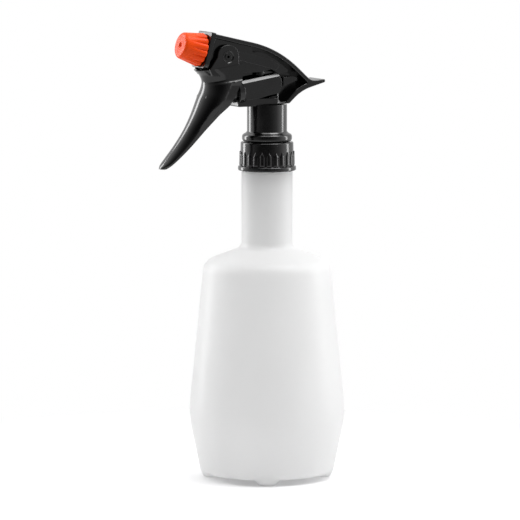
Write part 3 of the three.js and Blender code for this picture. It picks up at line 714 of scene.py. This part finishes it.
TRIGGER_FRONT = [(264, -52), (259.4, -50.2), (255.6, -46.2), (250, -44.6), (241.4, -48), (231.6, -52.3),
                 (221.7, -57.9), (212, -64.8), (203.5, -71.8), (200.4, -74.2), (198.2, -75.2)]
TRIGGER_REAR = [(264, -22.8), (256, -22.8), (251.4, -24.2), (238.1, -31.4), (231.4, -38.5), (222.4, -46.8),
                (212.8, -55.8), (205.6, -63.4), (200.9, -68.9), (198.2, -72.2)]
TRIGGER_HALF = [(254.2, 12.8), (241, 12.8), (236, 12.2), (229, 10), (222, 8.1), (204, 6.2), (200.5, 5.4),
                (198.6, 3.6), (198.2, 3)]
WING_HALF = 11.5
LEDGE_LOW, LEDGE_HIGH = 251.4, 253.9    # heights between which the sides step in from the grip to the wings
WEB_STEP = 0.7                          # how far the rear web stands back from the grip's sides
WEB_LINE = [(254, -29.5), (251.2, -31.0), (239.3, -37.0), (228, -44.5), (215, -56), (198, -71)]
WING_TOP_SLOPE = math.atan2(7.0, 45.0)
WING_TOP = (-60, 257.4)
TRIGGER_TIP = 198.3
TRIGGER_WALL = 1.8
CHEEK_IN, CHEEK_OUT, CHEEK_R = 9.8, 10.9, 7.4
TRUNNION_MIDDLE, TRUNNION_HALF = 8.05, 2.5


def trigger_half(x, z):
    """Half width of the lever: the grip, less the step to the wings above and the step to the rear web."""
    half = smooth_value(TRIGGER_HALF, min(z, 254.2))
    wing = half - (half - WING_HALF) * ease(z - 0.12 * (x + 28), LEDGE_LOW, LEDGE_HIGH)
    line = smooth_value(WEB_LINE, min(z, 254))
    below = 1 - ease(z, LEDGE_LOW - 1.5, LEDGE_LOW + 0.5)
    return wing - WEB_STEP * ease(x, line, line + 0.8) * below * ease(z, 226, 236)


def trigger_row(z, wall, behind):
    """A level D-shaped section of the lever: rounded in front, nearly straight at the sides."""
    front = smooth_value(TRIGGER_FRONT, z) + wall * 1.2
    rear = smooth_value(TRIGGER_REAR, z) + behind
    half = smooth_value(TRIGGER_HALF, min(z, 254.2))
    nose = min(half * 0.95, (rear - front) * 0.75)
    side = [front + nose + (rear - front - nose) * k / 22 for k in range(1, 23)]
    xs = side[::-1] + [front + nose * (1 - math.cos(math.pi / 2 * (1 - k / 20))) for k in range(21)]
    ys = [1.0] * 22 + [math.sin(math.pi / 2 * (1 - k / 20)) for k in range(21)]
    right = [(x, s * (trigger_half(x, z) - wall)) for x, s in zip(xs, ys)]
    left = [(x, -y) for x, y in right[-2::-1]]
    return [Vector((x, y, z)) for x, y in right + left]


def trigger_skin(top, bottom, wall, behind, gap):
    count = round((top - bottom) / gap)
    return skin([trigger_row(bottom + (top - bottom) * i / count, wall, behind) for i in range(count + 1)])


def above_wings():
    """Everything above the wings' sloping top edge."""
    x, z = WING_TOP
    run = 60
    outline = [WING_TOP, (x + run, z + run * math.tan(WING_TOP_SLOPE)), (0, 300), (-60, 300)]
    return slab(outline, -20, 20)


def make_cheeks():
    """Side cheeks that reach up round the pivot, each with a ring-shaped dish round the pin's head."""
    reach = CHEEK_R
    outline = rounded([
        (-43.5, 256, 0), (-23.4, 254, 0), (-22.8, 262.8, 2), (-25.2, 263.2, 0),
        (PIVOT.x + reach, PIVOT.z, 0), (PIVOT.x + reach, PIVOT.z + reach, 7),
        (PIVOT.x - reach, PIVOT.z + reach, 7), (PIVOT.x - reach, PIVOT.z, 0), (-45.4, 259.8, 0),
    ])
    cheeks = slab(outline, -CHEEK_OUT, CHEEK_OUT, 0.35)
    cheeks = cut(cheeks, slab([(-60, 240), (-10, 240), (-10, 290), (-60, 290)], -CHEEK_IN, CHEEK_IN))
    trunnions = []
    dishes = []
    for side in (-1, 1):
        middle = side * TRUNNION_MIDDLE
        trunnions.append(cross_rod(PIVOT.x, PIVOT.z, 3.6, middle - TRUNNION_HALF, middle + TRUNNION_HALF, 64))
        groove = [(2.3, -0.5, 0.3), (3.4, -0.5, 0.5), (4.2, 0.3, 0), (4.2, 1, 0), (1.9, 1, 0), (1.9, 0.3, 0)]
        ring = revolve(rounded(groove), 96)
        pin = rod(0.85, -3, 1, 32)
        for tool in (ring, pin):
            turn = Matrix.Rotation(-side * math.pi / 2, 4, "X")
            dishes.append(placed(tool, Matrix.Translation((PIVOT.x, side * CHEEK_OUT, PIVOT.z)) @ turn))
    return join(cheeks, *trunnions), dishes


def make_trigger():
    grip = cut(trigger_skin(264, TRIGGER_TIP, 0, 0, 0.55), above_wings())
    channel = trigger_skin(267, TRIGGER_TIP + 5, TRIGGER_WALL, 12, 1.2)
    cheeks, dishes = make_cheeks()
    pad = cross_rod(-43.7, 241.9, 2.4, -6.5, 6.5)
    return cut(join(cut(grip, channel), cheeks, pad), *dishes)


settle(make_trigger(), "trigger")


# ---- Shroud ---------------------------------------------------------------------------------------------

SHROUD_HALF = 9.5
PLATE = 3.2
PLATE_TOP, PLATE_LOW = 12.15, 11.0
PANEL_OUT, PANEL_IN = 7.4, 6.2
SEAT_R = 6.4                    # opening in the panels round the trigger's pivot
# Outer side of the shroud: along its back, round the tail and down the rear strip to the neck.
SHROUD_OUTSIDE = [(-43, 282.7, 0), (3.7, 271.8, 71), (26.9, 250.6, 7), (36.6, 251.6, 0.9), (36.4, 249.6, 0.9),
                  (19.8, 244.9, 28), (11.1, 237, 0)]
SHROUD_INSIDE = [(7.6, 237, 0), (18.1, 247.7, 18), (24.4, 249.5, 0.8), (2.4, 269.4, 68), (-43, 280, 0)]
PANEL_EDGE = [(-10, 270.6, 12), (-4, 268.4, 0), (3, 264.4, 12), (7.7, 260.8, 8), (12, 257.2, 0.8),
              (6.3, 255.9, 1), (3.8, 256.2, 1.5), (-0.5, 258.8, 2.5), (-7.3, 257.3, 12), (-21, 257, 4),
              (-33, 257.6, 0), (-45, 261, 0)]
TONGUE = [(7.6, 253.5, 0), (14.5, 254, 2), (17.6, 253, 0.8), (17.6, 251.2, 0.8), (7.6, 247.8, 0)]
WEB = [(-14, 268.2), (0, 267.2), (0, 258.5), (4.8, 258.1), (7.8, 256.8), (7.8, 238.8), (9.8, 237.2),
       (14, 241), (19.5, 246.8), (25, 250.4), (14.5, 260), (3, 267.8), (-14, 274.2)]
BAND = [(-30, 272.5, 0), (-1.9, 265.6, 3), (5.5, 261.3, 0), (2.5, 257.9, 0), (-0.5, 258.9, 4),
        (-30, 266.8, 0)]


def both_sides(outline, inner, outer, edge):
    """The same plate on either side of the middle plane."""
    return [slab(outline, inner, outer, edge), slab(outline, -outer, -inner, edge)]


def make_panels(inside):
    """Side panels with a raised band along the discharge tube."""
    under = [p for p in inside if p[0] < PANEL_EDGE[0][0] - 4][::-1]
    panels = both_sides([*under, *rounded(PANEL_EDGE)], PANEL_IN, PANEL_OUT, 0.2)
    bands = both_sides(rounded(BAND), PANEL_OUT - 0.5, PANEL_OUT + 0.45, 0.4)
    low, high = PIVOT.x - SEAT_R, PIVOT.x + SEAT_R
    mouth = slab([(low, 250), (high, 250), (high, PIVOT.z), (low, PIVOT.z)], -SHROUD_HALF, SHROUD_HALF)
    full = join(panels[0], panels[1], *bands)
    return cut(full, cross_rod(PIVOT.x, PIVOT.z, SEAT_R, -SHROUD_HALF, SHROUD_HALF), mouth)


def make_front_plate():
    corners = [(PLATE_TOP, -SHROUD_HALF, 0.9), (PLATE_TOP, SHROUD_HALF, 0.9),
               (-PLATE_LOW, SHROUD_HALF, 3), (-PLATE_LOW, -SHROUD_HALF, 3)]
    rows = [[Vector((*p, z)) for p in rounded(corners)] for z in (-PLATE, 0)]
    return along_nozzle(bevelled(skin(rows), 0.4, 4))


def make_shroud():
    inside = rounded(SHROUD_INSIDE, math.radians(3))
    strips = slab([*rounded(SHROUD_OUTSIDE, math.radians(3)), *inside], -SHROUD_HALF, SHROUD_HALF, 0.6, 4)
    tongue = slab(rounded(TONGUE), -PANEL_OUT, PANEL_OUT, 0.3)
    whole = join(strips, make_front_plate(), make_panels(inside), slab(WEB, -0.8, 0.8), tongue)
    return cut(whole, along_nozzle(rod(5.8, -20, 5)))


settle(make_shroud(), "shroud")


# ---- Nozzle ---------------------------------------------------------------------------------------------

def make_spigot():
    profile = rounded([(0, -11, 0), (2.9, -11, 0.3), (2.9, -PLATE, 0.2), (5.4, -PLATE, 0.3), (5.4, 9.2, 0.4),
                       (0, 9.2, 0)])
    return along_nozzle(cut(revolve(profile, 64), rod(1.3, -15, 2, 32), rod(3.2, 1, 15, 48)))


def make_spinner():
    """Swirl core with two flats along its sides and two offset slots across its end."""
    slots = []
    for i in range(2):
        slot = slab([(-4, 8.9), (4, 8.9), (4, 9.9), (-4, 9.9)], 0.75, 1.65)
        slots.append(placed(slot, Matrix.Rotation(i * math.pi, 4, "Z")))
    flats = []
    for side in (-1, 1):
        inner, outer = 2.2 * side, 4.2 * side
        flats.append(slab([(inner, 1), (outer, 1), (outer, 8), (inner, 8)], -4, 4))
    return along_nozzle(cut(rod(2.9, 1.3, 9.4, 48, 0.2), *slots, *flats))


CAP_LENGTH = 15.1
CAP_LOBES = 14
LOBE_DEPTH = 1.6


def cap_lobe(angle):
    """0 on top of a lobe and -1 in the valley between two: rounded ridges that meet in narrow valleys."""
    away = abs((angle * CAP_LOBES / (2 * math.pi)) % 1 - 0.5) * 2
    return math.sqrt(max(0.0, 1 - 0.92 * (1 - away) ** 2)) - 1


def make_nozzle_cap():
    outline = rounded([(5.9, 0.4, 0.2), (10.75, 0.4, 0.8), (8.1, CAP_LENGTH, 2.0), (1.9, CAP_LENGTH, 0.2),
                       (0.8, 14.1, 0), (0.5, 14.1, 0), (0.5, 13.4, 0), (1.6, 13.4, 0), (1.6, 11.5, 0),
                       (5.9, 11.5, 0)])
    path = resampled(outline + [outline[0]], 0.5)[:-1]
    segments = CAP_LOBES * 20
    rows = []
    for r, z in path:
        row = []
        for i in range(segments):
            angle = 2 * math.pi * i / segments
            depth = LOBE_DEPTH * (1 - ease(z, 1.5, 13.0)) if r > 7.2 and z < 13.8 else 0
            radius = r + depth * cap_lobe(angle)
            row.append(Vector((radius * math.cos(angle), radius * math.sin(angle), z)))
        rows.append(row)
    return along_nozzle(skin(rows, loop=True))


settle(make_spigot(), "nozzle_spigot")
settle(make_spinner(), "spinner")
settle(along_nozzle(pipe(3.5, 5.3, 9.5, 11.2, 64, 0.5)), "nozzle_seal")
settle(make_nozzle_cap(), "nozzle_cap")


# ---- Stage ----------------------------------------------------------------------------------------------

VIEW_AZIMUTH = math.radians(-27)
VIEW_ELEVATION = math.radians(6.5)
VIEW_DISTANCE = 2.82
SENSOR = 36.0
FOCAL_IN_FRAMES = 8.602         # focal length over the frame's width
CENTRE = Vector((AXIS_X - 0.00495, 0, 0.138))
# How bright the light tent is, from opposite its dim opening (0) to the middle of the opening (1).
TENT = [(0.03, 0.85), (0.1, 0.95), (0.2, 1.4), (0.5, 1.5), (0.62, 0.95), (0.7, 0.58), (0.8, 0.36),
        (0.88, 0.2), (0.95, 0.08), (0.99, 0.04)]
OPENING_AZIMUTH = math.radians(-9)      # the opening's middle, to the left of the camera


def pale_floor():
    """A round white table top that turns into plain white light towards its rim."""
    bm = bmesh.new()
    bmesh.ops.create_circle(bm, cap_ends=True, segments=128, radius=1.6)
    floor = as_object(bm)
    floor.name = "floor"
    floor.location.z = -0.0001
    material, tree, shader = node_material("floor")
    shader.inputs["Base Color"].default_value = (0.9, 0.9, 0.905, 1)
    shader.inputs["Roughness"].default_value = 0.7
    shader.inputs["Specular IOR Level"].default_value = 0.2
    place = add(tree, "ShaderNodeTexCoord")
    length = add(tree, "ShaderNodeVectorMath", operation="LENGTH")
    tree.links.new(place.outputs["Object"], length.inputs[0])
    fade = add(tree, "ShaderNodeMapRange", interpolation_type="SMOOTHSTEP")
    fade.inputs["From Min"].default_value = 0.05
    fade.inputs["From Max"].default_value = 0.3
    tree.links.new(length.outputs["Value"], fade.inputs["Value"])
    light = add(tree, "ShaderNodeEmission", Strength=1.0)
    mix = add(tree, "ShaderNodeMixShader")
    tree.links.new(fade.outputs["Result"], mix.inputs[0])
    tree.links.new(shader.outputs["BSDF"], mix.inputs[1])
    tree.links.new(light.outputs["Emission"], mix.inputs[2])
    tree.links.new(mix.outputs["Shader"], tree.nodes["Material Output"].inputs["Surface"])
    floor.data.materials.append(material)


def studio_world():
    """White behind the object; for everything else a grey light tent with a dim opening at its front."""
    world = bpy.data.worlds.new("studio")
    bpy.context.scene.world = world
    world.use_nodes = True
    tree = world.node_tree
    room = tree.nodes["Background"]
    place = add(tree, "ShaderNodeTexCoord")
    facing = add(tree, "ShaderNodeVectorMath", operation="DOT_PRODUCT")
    opening = VIEW_AZIMUTH + OPENING_AZIMUTH
    facing.inputs[1].default_value = (math.sin(opening), -math.cos(opening), 0)
    tree.links.new(place.outputs["Generated"], facing.inputs[0])
    tent = add(tree, "ShaderNodeValToRGB")
    ramp = tent.color_ramp
    for position, level in TENT:
        element = ramp.elements.new(position)
        element.color = (level, level, level, 1)
    ramp.elements.remove(ramp.elements[-1])
    ramp.elements.remove(ramp.elements[0])
    share = add(tree, "ShaderNodeMapRange")
    share.inputs["From Min"].default_value = -1.0
    tree.links.new(facing.outputs["Value"], share.inputs["Value"])
    tree.links.new(share.outputs["Result"], tent.inputs["Fac"])
    tree.links.new(tent.outputs["Color"], room.inputs["Color"])
    white = add(tree, "ShaderNodeBackground", Color=(1, 1, 1, 1), Strength=1.0)
    path = add(tree, "ShaderNodeLightPath")
    mix = add(tree, "ShaderNodeMixShader")
    tree.links.new(path.outputs["Is Camera Ray"], mix.inputs[0])
    tree.links.new(room.outputs["Background"], mix.inputs[1])
    tree.links.new(white.outputs["Background"], mix.inputs[2])
    tree.links.new(mix.outputs["Shader"], tree.nodes["World Output"].inputs["Surface"])


def round_the_object(azimuth, elevation, distance):
    """A place seen from the object's middle: azimuth 0 is on -Y, and positive azimuths turn towards +X."""
    level = Vector((math.sin(azimuth), -math.cos(azimuth), 0)) * math.cos(elevation)
    return CENTRE + (level + Vector((0, 0, math.sin(elevation)))) * distance


def looking_at(obj, target):
    obj.rotation_euler = (target - obj.location).to_track_quat("-Z", "Y").to_euler()


def softbox(name, azimuth, elevation, distance, size, radiance):
    """A rectangular light; azimuth is counted from the camera's direction, angles are in degrees."""
    lamp = bpy.data.lights.new(name, "AREA")
    lamp.shape = "RECTANGLE"
    lamp.size, lamp.size_y = size
    lamp.energy = radiance * math.pi * size[0] * size[1]
    obj = bpy.data.objects.new(name, lamp)
    obj.location = round_the_object(VIEW_AZIMUTH + math.radians(azimuth), math.radians(elevation), distance)
    looking_at(obj, CENTRE)
    bpy.context.scene.collection.objects.link(obj)


def camera():
    data = bpy.data.cameras.new("camera")
    data.sensor_width = SENSOR
    data.lens = SENSOR * FOCAL_IN_FRAMES
    data.clip_end = 50
    obj = bpy.data.objects.new("camera", data)
    obj.location = round_the_object(VIEW_AZIMUTH, VIEW_ELEVATION, VIEW_DISTANCE)
    looking_at(obj, CENTRE)
    bpy.context.scene.collection.objects.link(obj)
    bpy.context.scene.camera = obj


pale_floor()
studio_world()
softbox("left_strip", -118, 8, 1.1, (0.28, 1.2), 8)
softbox("right_strip", 102, 8, 1.1, (0.22, 1.2), 7.5)
softbox("right_top", 85, 69, 1.1, (0.42, 0.4), 9)
softbox("top_box", 0, 75, 1.2, (0.7, 0.35), 4)
camera()
bpy.context.scene.view_settings.view_transform = "Standard"
